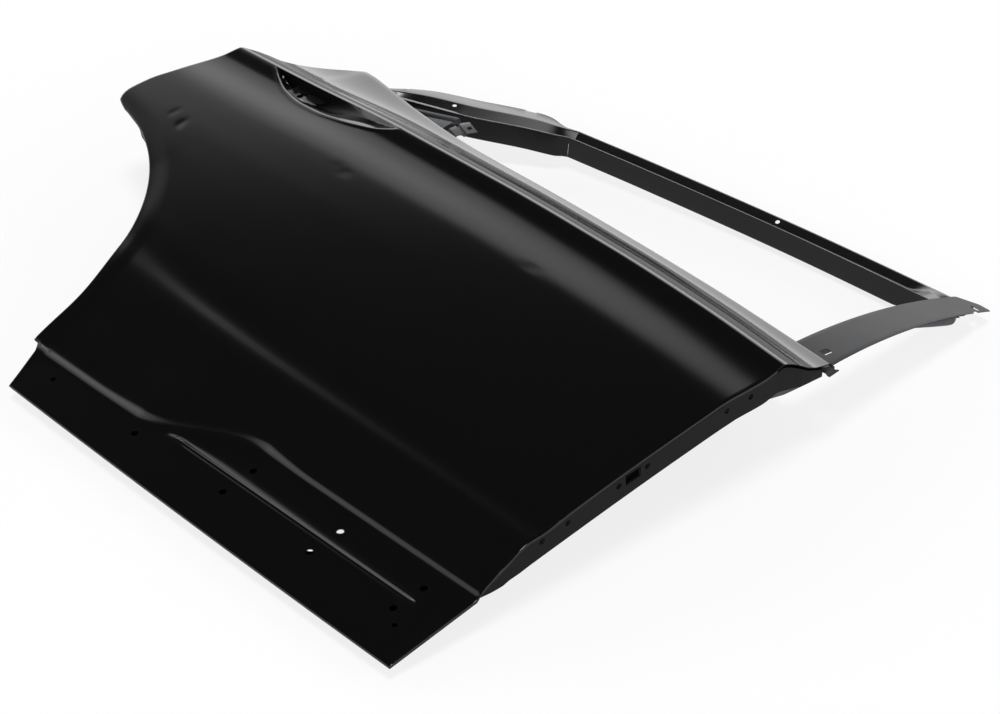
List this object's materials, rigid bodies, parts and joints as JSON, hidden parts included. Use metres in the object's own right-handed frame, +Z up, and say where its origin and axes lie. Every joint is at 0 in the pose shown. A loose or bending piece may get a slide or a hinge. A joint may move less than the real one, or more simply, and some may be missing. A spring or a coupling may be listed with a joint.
{
  "type": "car door shell",
  "caption": "Bare rear door shell of a car: pressed skin with a handle scoop and stepped lower band, inner panel and an open window frame.",
  "frame": {"origin": "centre of the bounding box in plan, on the ground the door lies on", "axes": "+X to the front of the car, +Y to its roof, +Z up, which is out of the car: the door lies on its inner side, tilted by 6.4 degrees about X"},
  "size_m": [1.2018, 1.1362, 0.1518],
  "materials": {
    "skin": "satin gloss black primer",
    "panel": "satin black primer",
    "frame": "satin gloss black primer",
    "plate": "satin dark grey primer",
    "bracket": "satin dark grey primer",
    "nut": "matt dark grey primer",
    "pad": "matt"
  },
  "bodies": {
    "root": {"beam_bracket_front": "bracket", "beam_bracket_rear": "bracket", "belt_stiffener_inner": "bracket", "belt_stiffener_outer": "bracket", "belt_tab": "bracket", "check_strap_plate": "bracket", "check_strap_plate_nut_1": "nut", "check_strap_plate_nut_2": "nut", "corner_bracket": "plate", "corner_tab": "plate", "flutter_pad_1": "pad", "flutter_pad_2": "pad", "flutter_pad_3": "pad", "flutter_pad_4": "pad", "glass_run_front": "bracket", "glass_run_rear": "bracket", "handle_stiffener": "bracket", "hinge_plate_lower": "bracket", "hinge_plate_lower_nut_1": "nut", "hinge_plate_lower_nut_2": "nut", "hinge_plate_upper": "bracket", "hinge_plate_upper_nut_1": "nut", "hinge_plate_upper_nut_2": "nut", "impact_beam": "bracket", "inner_panel": "panel", "latch_plate": "bracket", "outer_skin": "skin", "pillar_gusset": "bracket", "pillar_plate": "plate", "window_frame_header": "frame", "window_frame_rear_leg": "frame"}
  },
  "joints": []
}
